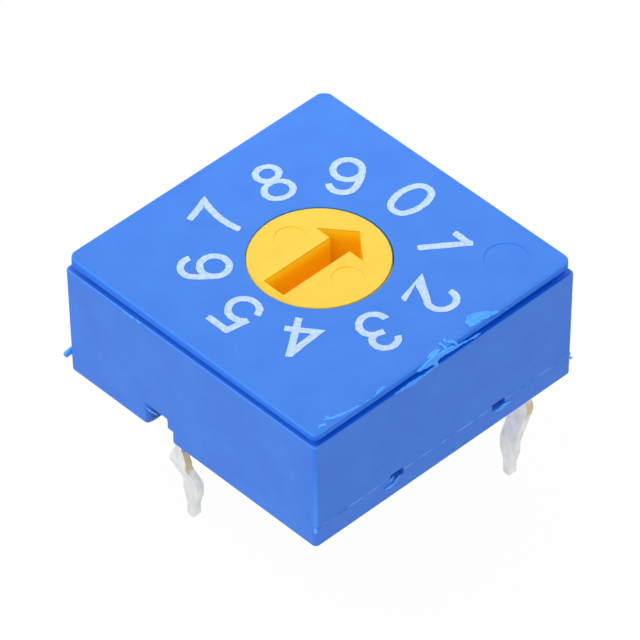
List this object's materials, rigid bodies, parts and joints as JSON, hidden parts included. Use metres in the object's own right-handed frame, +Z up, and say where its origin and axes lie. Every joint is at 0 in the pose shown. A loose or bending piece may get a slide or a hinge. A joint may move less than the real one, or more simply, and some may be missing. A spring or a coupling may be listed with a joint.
{
  "type": "rotary coded switch",
  "caption": "Low square rotary coded switch with an arrow-slotted dial, numbered cover and bent through-hole pins.",
  "frame": {"origin": "the rotor's axis at the body's underside, where the switch seats on its board", "axes": "+Z up along the rotor's axis; +X from the common pin's row towards the row of four code pins and the dial's 0; the rotor's arrow points along +X at rest"},
  "size_m": [0.01, 0.01, 0.0084],
  "materials": {
    "housing_blue": "moulded PBT, satin",
    "cover_blue": "moulded PBT, fine matt",
    "rotor_yellow": "moulded POM, satin",
    "seal_rubber": "black silicone",
    "disc_gold": "gold plated",
    "leaf_steel": "stainless spring strip",
    "lead_tin": "dull tin plate over brass, sheared edges bare",
    "finger_gold": "gold plated spring bronze"
  },
  "bodies": {
    "housing": {"base_housing": "housing_blue", "cover": "cover_blue", "detent_leaf_rear": "leaf_steel", "detent_leaf_front": "leaf_steel", "terminal_c": "lead_tin", "terminal_1": "lead_tin", "terminal_2": "lead_tin", "terminal_4": "lead_tin", "terminal_8": "lead_tin", "finger_c": "finger_gold", "finger_1": "finger_gold", "finger_2": "finger_gold", "finger_4": "finger_gold", "finger_8": "finger_gold"},
    "rotor": {"rotor": "rotor_yellow", "code_disc": "disc_gold", "o_ring": "seal_rubber"}
  },
  "joints": [
    {"name": "rotor_turn", "type": "hinge", "parent": "housing", "child": "rotor", "pos_m": [0, 0, 0], "axis": [0, 0, 1], "continuous": true, "deforming": ["detent_leaf_rear", "detent_leaf_front"]}
  ]
}
